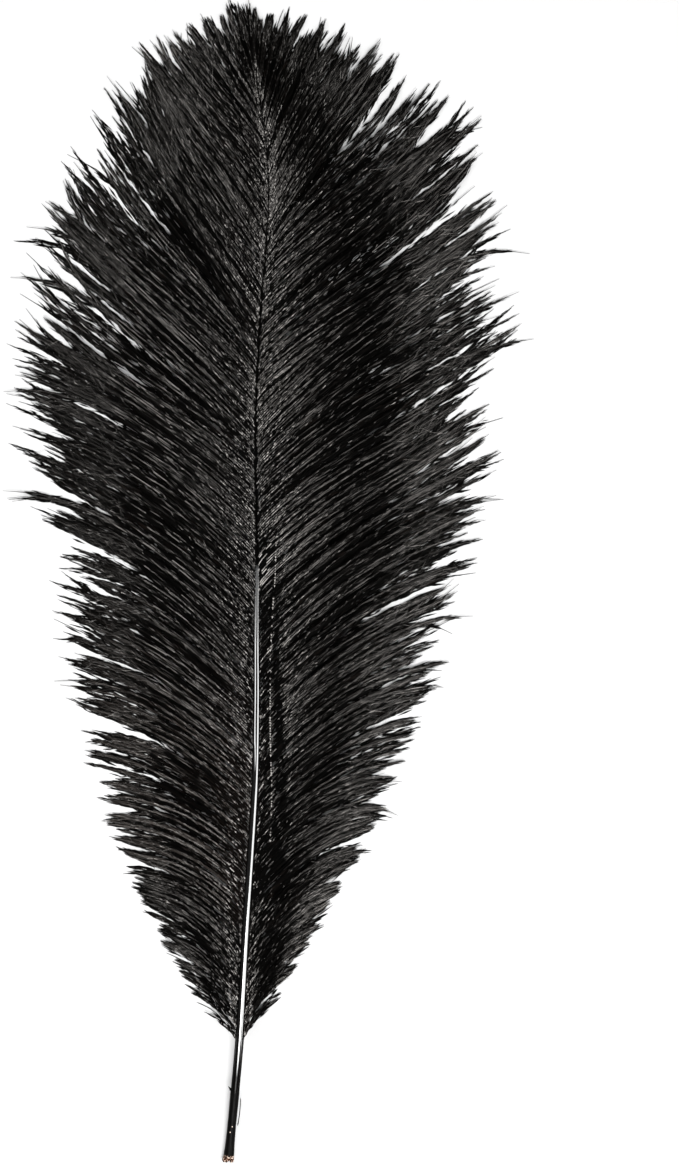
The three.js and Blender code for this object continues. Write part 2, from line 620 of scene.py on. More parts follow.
@dataclass(frozen=True)
class PeelingSliver:
    """A thread of sheath that peels off the right of the quill, with a blob near each end.

    A blob is given by its height, its share of the length and its reach.
    """

    rings: int = 12
    starts: float = -250.3
    length: float = 13.4
    swell: float = 1.06
    gap: float = 0.70
    bow: float = 0.35
    lift: float = 0.3
    thick: float = 0.20
    blobs: tuple[Triple, ...] = ((0.42, 0.03, 0.05), (0.25, 0.98, 0.04))
    point: float = 0.03

    def build(self, shaft: "Shaft") -> tuple[Array, Whole]:
        """Works out the thread: it runs beside the quill and bows out by half a sine wave.

        Args:
            shaft: the shaft that it peels off.

        Returns:
            Points and faces.
        """
        t = np.linspace(0, 1, self.rings)
        y = self.starts + self.length * t
        gap = self.gap + self.bow * np.sin(np.pi * t)
        x = shaft.x(y) + shaft.width(y) / 2 * self.swell + gap
        route = np.stack([x, y, shaft.z(y) + self.lift + 0 * t], 1)
        thick = self.thick + sum(height * hump(t, centre, reach) for height, centre, reach in self.blobs)
        thick[[0, -1]] = self.point
        return thread(route, thick)


@dataclass(frozen=True)
class Flake:
    """A pointed flake of sheath that stands off the left of the ring."""

    rings: int = 8
    starts: float = -233.6
    climb: float = 2.1
    climb_power: float = 0.7
    inset: float = 0.2
    reach: float = 1.55
    lift: float = 0.2
    rise: float = 0.3
    thick: float = 0.62
    taper_power: float = 0.6
    point: float = 0.03

    def build(self, shaft: "Shaft") -> tuple[Array, Whole]:
        """Works out the flake: it leaves the quill's side and tapers by a power of what is left.

        Args:
            shaft: the shaft that it stands on.

        Returns:
            Points and faces.
        """
        u = np.linspace(0, 1, self.rings)
        y = self.starts + self.climb * u**self.climb_power
        x = shaft.x(y) - shaft.width(y) / 2 + self.inset - self.reach * u
        route = np.stack([x, y, shaft.z(y) + self.lift + self.rise * u], 1)
        return thread(route, self.thick * (1 - u) ** self.taper_power + self.point)


@dataclass
class Shaft:
    """The quill and the rachis above it, as one tapering rod with a groove along its upper half.

    The valley holds the groove's corners across the shaft and their heights, in radii. Waves
    are given by their count, phase and height.
    """

    node: bpy.types.Object
    polished: PolishedFinish = PolishedFinish()
    sheath: SheathFinish = SheathFinish()
    painted_shade: PaintedShadeFinish = PaintedShadeFinish()
    sliver: PeelingSliver = PeelingSliver()
    flake: Flake = Flake()
    covered_y: float = 8.0
    rings: int = 200
    ring_growth: float = 1.15
    sides: int = 48
    ring_y: float = -234.0
    sheath_swell: float = 1.06
    sheath_edge: Pair = (-0.5, 0.3)
    collar_height: float = 0.12
    collar_below: float = 0.4
    collar_reach: float = 0.5
    groove_from: float = -100.0
    groove_full: float = -62.0
    valley: tuple[Pair, ...] = ((-0.609, 0.793), (-0.259, 0.666), (0.0, 0.45), (0.131, 0.991))
    flank_from: float = 0.74
    hollow_from: float = -40.0
    hollow_full: float = 30.0
    hollow_depth: float = 0.9
    hollow_width: float = 0.62
    flare_length: float = 3.4
    torn_swell: float = 0.07
    torn_waves: tuple[Triple, ...] = ((3, 0.7, 1.0), (5, 2.1, 0.8), (9, 4.0, 0.6))
    edge_depth: float = 0.35
    edge_waves: tuple[Triple, ...] = ((4, 1.3, 1.0), (7, 0.2, 0.7))
    bore: float = 0.62
    bore_depth: float = 4.0
    bore_rings: int = 7
    bore_end: float = 0.12
    bore_throat: float = 0.5
    lowest: float = 0.02

    def __post_init__(self) -> None:
        """Reads the centre line and the width from the rings of the CAD shaft."""
        count = len(self.node.data.vertices)
        flat = np.zeros(count * 3, np.float32)
        self.node.data.vertices.foreach_get("co", flat)
        points = flat.reshape(-1, 3).astype(float) / MM
        self.places, ring = np.unique(np.round(points[:, 1], 3), return_inverse=True)
        low = np.full((len(self.places), 3), np.inf)
        high = np.full((len(self.places), 3), -np.inf)
        np.minimum.at(low, ring, points)
        np.maximum.at(high, ring, points)
        self.centres = (low + high) / 2
        self.widths = high[:, 0] - low[:, 0]

    def x(self, y: Array) -> Array:
        """X of the centre line at y."""
        return smooth_through(y, self.places, self.centres[:, 0])

    def z(self, y: Array) -> Array:
        """Z of the centre line at y."""
        return smooth_through(y, self.places, self.centres[:, 2])

    def width(self, y: Array) -> Array:
        """Width at y."""
        return smooth_through(y, self.places, self.widths)

    def profile(self) -> tuple[Array, Array, Array]:
        """Sets out rings from the bottom of the bore, out over the cut rim and along to the tip.

        Returns:
            Y of each ring, its radius as a share of the shaft's, and how far it is torn.
        """
        cut, tip = self.places[0], self.places[-1]
        inside = np.linspace(cut + self.bore_depth, cut, self.bore_rings)
        throat = np.linspace(self.bore_throat, 1.0, self.bore_rings - 1)
        bore = np.concatenate([[self.bore_end], throat]) * self.bore
        outside = cut + (tip - cut) * np.linspace(0.0, 1.0, self.rings) ** self.ring_growth
        y = np.concatenate([inside, outside])
        share = np.concatenate([bore, np.ones(self.rings)])
        torn = np.clip(1 - (y - cut) / self.flare_length, 0, 1)
        return y, share, torn

    def cut_away(self, turn: Array) -> Array:
        """Works out how far the groove cuts into the top.

        The groove is straight between the corners of the valley: a flat slope down from its
        left lip, a crack, and a steep wall up to its right lip. What stands above it goes.

        Args:
            turn: angles from the top, in radians.

        Returns:
            The depth of the cut at those angles, in radii.
        """
        places, heights = np.array(self.valley).T
        return np.maximum(np.cos(turn) - np.interp(np.sin(turn), places, heights), 0.0)

    def surface(self) -> Array:
        """Works out the points of the rod.

        Each ring is a circle about the centre line. A groove is cut into its top up the shaft
        and widens to a round hollow between the vanes, the sheath under the ring is a little
        thicker, and round the cut the radius and the edge wander by a few waves of the angle.

        Returns:
            Points, ring by ring.
        """
        y, share, torn = self.profile()
        turn = np.linspace(0, 2 * np.pi, self.sides, endpoint=False)[None]
        y, share, torn = y[:, None], share[:, None], torn[:, None]
        radius = self.width(y) / 2 * share
        sheath = 1 - smoothstep(y, self.ring_y + self.sheath_edge[0], self.ring_y + self.sheath_edge[1])
        radius = radius * (1 + (self.sheath_swell - 1) * sheath)
        radius = radius + self.collar_height * hump(y, self.ring_y - self.collar_below, self.collar_reach)
        radius = radius * (1 + self.torn_swell * torn * waves(turn, self.torn_waves))
        edge = self.edge_depth * waves(turn, self.edge_waves) * torn**2
        grooved = smoothstep(y, self.groove_from, self.groove_full)
        height = np.cos(turn) - grooved * self.cut_away(turn)
        deep = self.hollow_depth * smoothstep(y, self.hollow_from, self.hollow_full)
        height = height * (1 - deep * hump(np.sin(turn), 0.0, self.hollow_width) * (np.cos(turn) > 0))
        return np.stack(
            [
                self.x(y) + radius * np.sin(turn),
                y + edge + 0 * turn,
                np.maximum(self.z(y) + radius * height, self.lowest),
            ],
            -1,
        ).reshape(-1, 3)

    def build(self) -> bpy.types.Object:
        """Makes the shaft's object, sheathed below the ring, with painted shade on its flanks and upper part.

        Returns:
            The object.
        """
        rod = self.surface()
        parts = [(rod, tube_faces(len(rod) // self.sides, self.sides))]
        points, triangles = joined(parts + [self.sliver.build(self), self.flake.build(self)])
        along = points[triangles, 1].mean(1)
        aside = np.abs(points[triangles, 0].mean(1) - self.x(along)) / (self.width(along) / 2)
        # Faces on the flanks and up in the closed-over groove get the near-black matt finish of painted
        # shade.
        dull = (along > self.covered_y) | (aside > self.flank_from)
        finish = np.where(along < self.ring_y, 1, np.where(dull, 2, 0))
        finishes = (
            self.polished.material(),
            self.sheath.material(),
            self.painted_shade.material("painted_shade_groove"),
        )
        made = solid_object("polished_shaft", points, triangles, None, finishes, True, finish)
        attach(made, "root")
        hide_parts("shaft")
        return made


@dataclass(frozen=True)
class Coat:
    """One layer of barbules over a vane.

    A pair holds a value beside the shaft and the same value well away from it, apart from tone.

    Attributes:
        finish: the layer's number in the vane's finishes.
        pitch: spacing along a barb.
        loose: how much of the pitch a barbule may shift by.
        starts: share of a barb's length where the layer starts.
        fade: distance over which the layer thins out.
        long: length of a barbule.
        half_width: half its width.
        beside: how far it lies beside its barb.
        steeper: how much more it points to the feather's tip than its barb does.
        splay: spread of its angle.
        level: its height over its barb.
        tilt: how far it leans away from its barb.
        lean: spread of its lean.
        by_barb: spread of the lean that all barbules of a barb share.
        arch: height of its arch, as a share of its length.
        tone: its darkest and lightest tones, wherever it lies.
        thins: whether the layer thins out where shade is painted and inside a crest.
    """

    finish: int
    pitch: float
    loose: float
    starts: float
    fade: float
    long: Pair
    half_width: Pair
    beside: Pair
    steeper: float
    splay: Pair
    level: float
    tilt: float
    lean: float
    by_barb: float
    arch: Pair
    tone: Pair
    thins: bool


# The ground layer wears the near-black matt finish of painted shade, for the shade under the top barbules.
GROUND = Coat(
    finish=1,
    pitch=0.80,
    loose=1.0,
    starts=0.0,
    fade=9000.0,
    long=(4.0, 8.5),
    half_width=(0.46, 0.50),
    beside=(0.40, 0.80),
    steeper=0.0,
    splay=(4.0, 6.0),
    level=-0.9,
    tilt=20.0,
    lean=8.0,
    by_barb=0.0,
    arch=(0.0, 0.0),
    tone=(0.0, 1.0),
    thins=False,
)
STREAKS = Coat(
    finish=0,
    pitch=1.3,
    loose=1.0,
    starts=0.05,
    fade=9000.0,
    long=(4.0, 9.0),
    half_width=(0.10, 0.09),
    beside=(0.10, 0.36),
    steeper=0.0,
    splay=(2.0, 2.5),
    level=-0.12,
    tilt=0.0,
    lean=13.0,
    by_barb=10.0,
    arch=(0.0, 0.04),
    tone=(0.0, 0.6),
    thins=True,
)
BEADS = Coat(
    finish=0,
    pitch=1.45,
    loose=0.5,
    starts=0.0,
    fade=50.0,
    long=(2.1, 4.5),
    half_width=(0.24, 0.13),
    beside=(0.03, 0.22),
    steeper=6.0,
    splay=(3.0, 6.0),
    level=0.25,
    tilt=0.0,
    lean=13.0,
    by_barb=8.0,
    arch=(0.08, 0.20),
    tone=(0.0, 0.8),
    thins=True,
)
STROKES = Coat(
    finish=0,
    pitch=1.9,
    loose=0.8,
    starts=0.0,
    fade=42.0,
    long=(2.0, 2.6),
    half_width=(0.18, 0.17),
    beside=(0.10, 0.34),
    steeper=9.0,
    splay=(5.0, 8.0),
    level=0.35,
    tilt=0.0,
    lean=15.0,
    by_barb=8.0,
    arch=(0.09, 0.09),
    tone=(0.1, 0.9),
    thins=True,
)
FUZZ = Coat(
    finish=0,
    pitch=1.15,
    loose=1.0,
    starts=0.60,
    fade=9000.0,
    long=(4.0, 8.0),
    half_width=(0.07, 0.065),
    beside=(0.1, 0.2),
    steeper=0.0,
    splay=(10.0, 20.0),
    level=0.1,
    tilt=0.0,
    lean=15.0,
    by_barb=0.0,
    arch=(0.03, 0.03),
    tone=(0.0, 0.6),
    thins=False,
)


@dataclass(frozen=True)
class Patch:
    """An oval place where the top layers lie thin and low and stems get painted shade, so it looks darker."""

    x: float
    y: float
    across: float
    along: float
    strength: float

    def thin(self, points: Array) -> Array:
        """Strength inside the oval, falling as the exponential of the fourth power of the distance."""
        away = ((points[..., 0] - self.x) / self.across) ** 2 + ((points[..., 1] - self.y) / self.along) ** 2
        return self.strength * np.exp(-(away**2))


@dataclass(frozen=True)
class Crest:
    """A row of knees beside the shaft, one on each barb, where the bare barb bases bend over.

    Its distance from the shaft and the width of the dark trough beyond it are given at places
    along Y. The pairs say where something starts and where it is full, apart from knee_sizes,
    which are limits of chance. The trough is pressed low and gets painted shade, and the knees
    have a paler grey tone that is partly painted highlight.
    """

    places: tuple[float, ...] = (-113.0, -94.0, -76.6, -54.0, -34.7, -25.0, -9.0, 3.9, 17.7, 24.2)
    away: tuple[float, ...] = (8.4, 7.8, 6.7, 6.2, 6.2, 6.7, 7.4, 8.3, 8.7, 9.7)
    trough: tuple[float, ...] = (7.0, 5.5, 5.0, 4.6, 3.2, 2.6, 2.0, 1.2, 0.4, 0.2)
    starts: Pair = (-124.0, -100.0)
    ends: Pair = (14.0, 30.0)
    rise: float = 0.7
    rise_reach: float = 1.6
    fall: float = 1.3
    fall_reach: float = 2.0
    shade: float = 0.97
    shade_starts: Pair = (0.2, 0.8)
    shade_ends: Pair = (-0.8, 1.6)
    bare: float = 0.94
    bare_ends: Pair = (-0.9, 0.1)
    knee_long: float = 2.0
    knee_half_width: float = 0.36
    knee_arch: float = 0.27
    knee_above: float = 0.45
    knee_sizes: Pair = (0.75, 1.25)
    knee_tone_and_highlight: float = 0.7
    knee_tone_spread: float = 0.1
    knee_corner_tone: float = 0.02
    knee_map_along: tuple[float, ...] = (0.4, 0.6, 0.5, 0.52)

    def window(self, y: Array) -> Array:
        """How fully the crest shows at y, from 0 to 1."""
        return smoothstep(y, *self.starts) * (1 - smoothstep(y, *self.ends))

    def distance(self, y: Array) -> Array:
        """Distance of the crest from the shaft's centre at y."""
        return smooth_through(y, np.array(self.places), np.array(self.away))

    def hollow(self, y: Array) -> Array:
        """Width of the dark trough beyond the crest at y."""
        return smooth_through(y, np.array(self.places), np.array(self.trough))


@dataclass(frozen=True)
class Wander:
    """How far barbs stray from the paths that their stations give.

    Shares of the length and degrees of turn are for one unit of a chance number that a lock
    or a strand shares, or that is the barb's own.
    """

    root: float = 0.07
    longer: float = 1.01
    longer_by_lock: float = 0.028
    longer_by_strand: float = 0.03
    longer_by_own: float = 0.065
    edge_shorter: float = 0.09
    stray_longer: float = 0.06
    length_limits: Pair = (0.72, 1.10)
    loose_over: Pair = (20, 90)
    root_turn: float = 20.0
    root_reach: float = 2.2
    root_turn_over: Pair = (5, 25)
    drift_by_lock: float = 0.5
    drift_by_strand: float = 0.8
    drift_by_own: float = 0.7
    stray_drift: float = 3.5
    under_drift: float = 1.8
    curl_by_strand: float = 4.0
    curl_by_own: float = 6.0
    stray_curl: float = 13.0
    ripple: float = 1.6
    ripple_waves: float = 1.4
    bare_tip: float = 6.0
    stray_bare_tip: float = 9.0
    bare_tip_limits: Pair = (0.5, 1.6)
    lean: float = 0.7


@dataclass(frozen=True)
class Gather:
    """How far strands and locks are drawn together.

    Each has a usual pull, its spread, its limits, and the shares of the length where it starts
    and is full. Strays are let go of by a share.
    """

    strand: float = 0.22
    strand_spread: float = 0.10
    strand_limits: Pair = (0.04, 0.5)
    strand_over: Pair = (0.03, 0.16)
    point: float = 0.50
    point_spread: float = 0.25
    point_limits: Pair = (0.1, 0.85)
    point_over: Pair = (0.80, 1.0)
    lock: float = 0.08
    lock_spread: float = 0.12
    lock_limits: Pair = (0.0, 0.4)
    lock_over: Pair = (0.70, 1.0)
    let_go: float = 0.8


@dataclass(frozen=True)
class Pile:
    """How high barbs lie. Pairs say where a rise or fall starts and ends.

    They are shares of the length, apart from arch_rises and sinks_over, which are distances.
    """

    droops_over: Pair = (0.12, 0.74)
    arch: float = 1.5
    arch_rises: Pair = (-1.0, 9.0)
    arch_falls: Pair = (0.25, 0.65)
    by_lock: float = 0.6
    by_strand: float = 0.6
    by_own: float = 0.10
    piles_over: Pair = (0.05, 0.4)
    settles: float = 0.45
    settles_over: Pair = (0.7, 1.0)
    round_over: Pair = (0.04, 0.25)
    flattens: float = 0.6
    flattens_over: Pair = (0.75, 1.0)
    sunk: float = 1.8
    sinks_over: Pair = (8.0, 25.0)
    clear: float = 0.4
    patch_drop: float = 1.2
    lowest: float = 0.35


@dataclass(frozen=True)
class Stem:
    """The three-sided stem of a barb. Its corners are angles round it, and tones run from 0 to 1."""

    radius: float = 0.235
    taper: float = 0.25
    point_taper: float = 0.5
    point_over: Pair = (0.97, 1.0)
    corners: Triple = (150.0, 270.0, 30.0)
    wave_limits: Pair = (9, 25)
    own_roll: float = 10
    wave_roll: float = 7
    base_roll: float = 9.0
    base_roll_over: Pair = (-150.0, 20.0)
    tone: float = 0.30
    tone_spread: float = 0.12
    corner_tones: Triple = (-0.02, 0.0, 0.02)
    tone_limits: Pair = (0.01, 0.99)
    map_ends: Pair = (0.02, 0.98)
    # Share of stems near the shaft, fading over the reach, that get painted shade.
    painted_shade: float = 0.75
    painted_shade_reach: float = 28.0


@dataclass(frozen=True)
class Sliver:
    """What the barbules of all layers share. Limits are those of even chance.

    Attributes:
        away_over: distances from the shaft over which a coat's pairs go from first to second.
        ends_from: share of a barb's length where its barbules start to close up and shrink.
        low_ends_from: the same for the layers under the barbs.
        map_along: V at a sliver's root, its tip and its two sides.
    """

    bare_over: Pair = (0.4, 1.4)
    furthest: float = 0.99
    under_missing: float = 0.8
    away_over: Pair = (4.0, 34.0)
    ends_from: float = 0.68
    low_ends_from: float = 0.80
    end_closer: float = 0.85
    end_shorter: float = 0.5
    end_narrower: float = 0.75
    strand_shift: float = 0.12
    under_lift: float = 0.6
    long_limits: Pair = (0.6, 1.4)
    rise: float = 0.03
    lowest_tip: float = 0.25
    lowest_root: float = 0.2
    lowest_side: float = 0.03
    wave_limits: Pair = (18, 40)
    strand_lean: float = 8
    wave_lean: float = 6
    least_arch: float = 0.005
    arch_limits: Pair = (0.3, 1.0)
    middle_limits: Pair = (0.35, 0.6)
    width_limits: Pair = (0.7, 1.3)
    strand_tone: float = 0.06
    tone_shape: Pair = (1.3, 2.6)
    corner_tones: tuple[float, ...] = (-0.015, 0.015, -0.01, 0.01)
    tone_limits: Pair = (0.005, 0.995)
    map_along: tuple[float, ...] = (0.02, 0.98, 0.45, 0.55)


@dataclass
class Growth:
    """Closed shapes that grow on the barbs, as arrays.

    Attributes:
        points: one row of X, Y, Z per vertex.
        faces: one row of three vertex numbers per face.
        uv: one row of U, V per vertex.
        barb: the barb that each face belongs to.
        finish: each face's number in the vane's finishes.
    """

    points: Array
    faces: Whole
    uv: Array
    barb: Whole
    finish: Whole


@dataclass
class Stand:
    """Where one layer's barbules stand, with one value or row in each array per barbule.

    Attributes:
        barb: its barb.
        t: how far out it stands, as a share of its barb's length.
        away: how far it is from beside the shaft, 0, to well away from it, 1.
        ends: how far it is into its barb's last part, from 0 to 1.
        out: the side of its barb that it leaves on, -1 or 1.
        point: the place on the barb where it stands.
        tipward: direction across its barb to the feather's tip.
        upward: direction up from its barb.
    """

    barb: Whole
    t: Array
    away: Array
    ends: Array
    out: Array
    point: Array
    tipward: Array
    upward: Array


@dataclass
class Vane:
    """One side's barbs, in strands and locks, with their barbules.

    Each row of the stations holds a root along Y, the length of the barb there, and its
    heading from +Y at its root, half way and at its tip.
    """

    side: Side
    shaft: Shaft
    stations: Array
    finishes: tuple[bpy.types.Material, ...]
    seed: int
    patches: tuple[Patch, ...] = ()
    crest: Crest | None = None
    painted_sheen_tone: float = 0.0
    coats: tuple[Coat, ...] = (GROUND, STREAKS, BEADS, STROKES, FUZZ)
    wander: Wander = Wander()
    together: Gather = Gather()
    pile: Pile = Pile()
    stem: Stem = Stem()
    sliver: Sliver = Sliver()
    barbs: int = 345
    steps: int = 20
    step_growth: float = 1.6
    strand_sizes: tuple[int, ...] = (2, 3, 3, 4, 4, 5)
    strands_in_lock: tuple[int, ...] = (1, 1, 2, 2, 3)
    stray_share: float = 0.25
    under_share: float = 0.30
    root_places: Pair = (0.88, 0.38)
    root_places_over: Pair = (-50.0, 30.0)
    painted_sheen_rises: Pair = (-190.0, -145.0)
    painted_sheen_falls: Pair = (-110.0, 0.0)
    zones: tuple[str, ...] = ("base", "middle", "tip")

    def __post_init__(self) -> None:
        """Seeds the vane's own chance, and sets out the steps along a barb."""
        self.chance = np.random.default_rng(self.seed)
        self.t = np.linspace(0, 1, self.steps + 1)[None] ** self.step_growth

    def station(self, at: Array, column: int) -> Array:
        """Reads one column of the stations at places along Y."""
        return smooth_through(at, self.stations[:, 0], self.stations[:, column])

    def groups(self, sizes: tuple[int, ...], count: int) -> tuple[Whole, Array]:
        """Deals neighbours into groups of random sizes.

        Args:
            sizes: the sizes to choose from.
            count: how many neighbours there are.

        Returns:
            Each one's group number, and its place in the group from -1 to 1.
        """
        dealt = self.chance.choice(sizes, count)
        group = np.repeat(np.arange(count), dealt)[:count]
        size = np.bincount(group)[group]
        first = np.searchsorted(group, group)
        return group, (2 * (np.arange(count) - first) + 1) / size - 1

    def deal(self) -> None:
        """Sets out the roots, and deals the barbs into strands, locks, strays and an under layer.

        Every barb gets named chance numbers, in columns: some that it shares with its lock,
        some that it shares with its strand, and its own, of which two are spare.
        """
        chance, count, wander = self.chance, self.barbs, self.wander
        first, last = self.stations[0, 0], self.stations[-1, 0]
        root = np.linspace(first, last, count) + chance.normal(0, wander.root, count)
        self.root = np.clip(root, first, last)
        self.strand, self.in_strand = self.groups(self.strand_sizes, count)
        lock_of_strand, _ = self.groups(self.strands_in_lock, count)
        self.lock = lock_of_strand[self.strand]
        by_lock = chance.normal(0, 1, (count, 5))[self.lock]
        by_strand = chance.normal(0, 1, (count, 5))[self.strand]
        own = chance.normal(0, 1, (count, 6))
        self.by_lock = dict(zip(("length", "drift", "pile", "ripple", "pull"), by_lock.T[..., None]))
        self.by_strand = dict(zip(("length", "drift", "curl", "pile", "gather"), by_strand.T[..., None]))
        self.own = dict(zip(("length", "drift", "curl", "pile"), own.T[..., None]))
        self.stray = (chance.random(count) < self.stray_share)[:, None]
        bare_tip = wander.bare_tip + wander.stray_bare_tip * self.stray[:, 0]
        self.bare_tip = bare_tip * chance.uniform(*wander.bare_tip_limits, count)
        self.under = chance.random(count) < self.under_share
        self.own_lean = wander.lean * chance.normal(0, 1, count) + wander.lean * by_strand[:, 0]

    def measure(self) -> None:
        """Works out every barb's length, and how loose it is.

        The length is the station's, made longer or shorter by the lock, the strand and the
        barb's own chance, shorter at a strand's edges and longer for a stray. Long barbs are
        loose and short ones stiff.
        """
        wander = self.wander
        length = self.station(self.root, 1)[:, None]
        self.loose = smoothstep(length, *wander.loose_over)
        longer = wander.longer + wander.longer_by_lock * self.by_lock["length"]
        longer = longer + wander.longer_by_strand * self.by_strand["length"]
        longer = longer + wander.longer_by_own * self.own["length"]
        longer = longer - wander.edge_shorter * self.in_strand[:, None] ** 2
        longer = longer + wander.stray_longer * self.stray * self.loose
        self.length = (length * np.clip(longer, *wander.length_limits))[:, 0]

    def headings(self) -> Array:
        """Works out every barb's heading along it.

        It is a parabola through the barb's three stations, turned back a little at the root.
        A drift of its lock, its strand and its own grows as the square of the share of its
        length, a curl as the fifth power, and a slow ripple in proportion.

        Returns:
            Angles from +Y in radians, one row per barb.
        """
        t, wander = self.t, self.wander
        start, middle, end = (self.station(self.root, column)[:, None] for column in (2, 3, 4))
        heading = start * (1 - t) * (1 - 2 * t) + 4 * middle * t * (1 - t) + end * t * (2 * t - 1)
        near_root = np.exp(-t * self.length[:, None] / wander.root_reach)
        heading = heading - wander.root_turn * near_root * smoothstep(heading, *wander.root_turn_over)
        wild = wander.drift_by_own + wander.stray_drift * self.stray
        wild = wild + wander.under_drift * self.under[:, None]
        drift = wander.drift_by_lock * self.by_lock["drift"]
        drift = drift + wander.drift_by_strand * self.by_strand["drift"] + wild * self.own["drift"]
        curl = (wander.curl_by_own + wander.stray_curl * self.stray) * self.own["curl"]
        curl = (wander.curl_by_strand * self.by_strand["curl"] + curl) * t**5
        wave = wander.ripple_waves * t + self.by_lock["ripple"]
        ripple = wander.ripple * np.sin(2 * np.pi * wave) * t
        return np.radians(heading + self.loose * (drift * t**2 + curl + ripple))

    def summed(self, rate: Array) -> Array:
        """Sums a rate along every barb by the trapezium rule, from nothing at its root.

        Args:
            rate: the rate at every step.

        Returns:
            The sum up to every step.
        """
        step = self.length[:, None] * np.diff(self.t)
        grown = np.cumsum((rate[:, 1:] + rate[:, :-1]) / 2 * step, 1)
        return np.concatenate([np.zeros((self.barbs, 1)), grown], 1)

    def root_place(self) -> Array:
        """How far out on the shaft each barb stands, as a share of its half width.

        The share falls up the shaft, where the two rows of barbs close over it but for a
        narrow groove.

        Returns:
            One share per barb.
        """
        low, high = self.root_places
        return low - (low - high) * smoothstep(self.root, *self.root_places_over)

    def grow(self) -> None:
        """Lays out every barb's path: its heading summed up from its root, drawn together and pressed."""
        self.deal()
        self.measure()
        heading = self.headings()
        beside = self.side.value * self.shaft.width(self.root) / 2 * self.root_place()
        x = (self.shaft.x(self.root) + beside)[:, None] + self.side.value * self.summed(np.sin(heading))
        y = self.root[:, None] + self.summed(np.cos(heading))
        self.path = np.stack([x, y, self.heights()], -1)
        self.gather()
        self.press()

    def heights(self) -> Array:
        """Works out the height of each barb along its length.

        The barbs leave the shaft at its own height and droop to the surface as the CAD sheet
        does. Locks and strands lie over each other, and a strand is round across.

        Returns:
            Z, one row per barb.
        """
        t, pile = self.t, self.pile
        radius = self.shaft.width(self.root) / 2
        high = self.shaft.z(self.root) + radius * np.sqrt(1 - self.root_place() ** 2)
        along = t * self.length[:, None]
        droop = high[:, None] * (1 - smoothstep(t, *pile.droops_over))
        arch = pile.arch * smoothstep(along, *pile.arch_rises) * (1 - smoothstep(t, *pile.arch_falls))
        layers = np.abs(self.by_lock["pile"]) * pile.by_lock
        layers = layers + np.abs(self.by_strand["pile"]) * pile.by_strand + pile.by_own * self.own["pile"]
        layers = layers * smoothstep(t, *pile.piles_over)
        layers = layers * (1 - pile.settles * smoothstep(t, *pile.settles_over))
        round_top = (1 - self.in_strand[:, None] ** 2) * smoothstep(t, *pile.round_over)
        round_top = round_top * (1 - pile.flattens * smoothstep(t, *pile.flattens_over))
        sunk = self.under[:, None] * (pile.sunk + layers) * smoothstep(along, *pile.sinks_over)
        return droop + arch + pile.clear + layers + round_top - sunk

    def draw_together(self, group: Whole, pull: Array) -> None:
        """Draws the barbs of each group towards the group's mean path in plan.

        Barbs of the under layer stay where they are.

        Args:
            group: each barb's group number.
            pull: how far every step of a barb goes towards the mean, from 0 to 1.
        """
        count = np.bincount(group)[group][:, None, None]
        mean = np.zeros_like(self.path)
        np.add.at(mean, group, self.path)
        shift = mean[group] / count - self.path
        pull = pull * ~self.under[:, None]
        self.path[..., :2] += pull[..., None] * shift[..., :2]

    def gather(self) -> None:
        """Draws strands together along their length and to points, and locks together further out."""
        t, together = self.t, self.together
        held = 1 - together.let_go * self.stray
        strand = together.strand + together.strand_spread * self.by_strand["gather"]
        strand = np.clip(strand, *together.strand_limits) * smoothstep(t, *together.strand_over)
        point = together.point + together.point_spread * self.by_strand["pile"]
        point = np.clip(point, *together.point_limits) * smoothstep(t, *together.point_over)
        self.draw_together(self.strand, np.maximum(strand, point) * held)
        lock = together.lock + together.lock_spread * self.by_lock["pull"]
        lock = np.clip(lock, *together.lock_limits) * smoothstep(t, *together.lock_over)
        self.draw_together(self.lock, lock * held)

    def press(self) -> None:
        """Presses barbs down in patches and in a crest's trough, and lifts them over the crest.

        They are kept off the floor.
        """
        self.path[..., 2] -= self.pile.patch_drop * self.thin(self.path)
        if self.crest is not None:
            crest, y = self.crest, self.path[..., 1]
            past = self.past_crest(self.path)
            self.path[..., 2] += crest.window(y) * crest.rise * hump(past, 0.0, crest.rise_reach)
            self.path[..., 2] -= crest.window(y) * crest.fall * hump(past, crest.hollow(y), crest.fall_reach)
        self.path[..., 2] = np.maximum(self.path[..., 2], self.pile.lowest)

    def past_crest(self, points: Array) -> Array:
        """How far points lie past the crest, out from the shaft's centre on this side."""
        y = points[..., 1]
        return self.side.value * (points[..., 0] - self.shaft.x(y)) - self.crest.distance(y)

    def thin(self, points: Array) -> Array:
        """Works out how thin the top layers lie.

        Args:
            points: places on the vane.

        Returns:
            Strength of the strongest patch at each, from 0 to 1.
        """
        most = np.zeros(points.shape[:-1])
        for patch in self.patches:
            most = np.maximum(most, patch.thin(points))
        return most

    def shade(self, points: Array) -> Array:
        """Works out how much painted shade places get: in the patches and the trough past a crest.

        Args:
            points: places on the vane.

        Returns:
            Shade at each, from 0 to 1.
        """
        deep = self.thin(points)
        if self.crest is None:
            return deep
        crest, y = self.crest, points[..., 1]
        past = self.past_crest(points)
        beyond = smoothstep(past, *crest.shade_starts)
        beyond = beyond * (1 - smoothstep(past - crest.hollow(y), *crest.shade_ends))
        return np.maximum(deep, crest.shade * crest.window(y) * beyond)

    def bare(self, points: Array) -> Array:
        """Works out the share of the top barbules that are missing, where shade is painted and inside a
        crest.

        Args:
            points: places on the vane.

        Returns:
            Share at each, from 0 to 1.
        """
        missing = self.shade(points)
        if self.crest is None:
            return missing
        crest = self.crest
        inner = crest.bare * (1 - smoothstep(self.past_crest(points), *crest.bare_ends))
        return np.maximum(missing, crest.window(points[..., 1]) * inner)

    def painted_sheen(self) -> Array:
        """How much painted sheen lightens each barb's tone: most in the lower vane, and nothing at its ends.
        """
        rises = smoothstep(self.root, *self.painted_sheen_rises)
        return self.painted_sheen_tone * rises * (1 - smoothstep(self.root, *self.painted_sheen_falls))

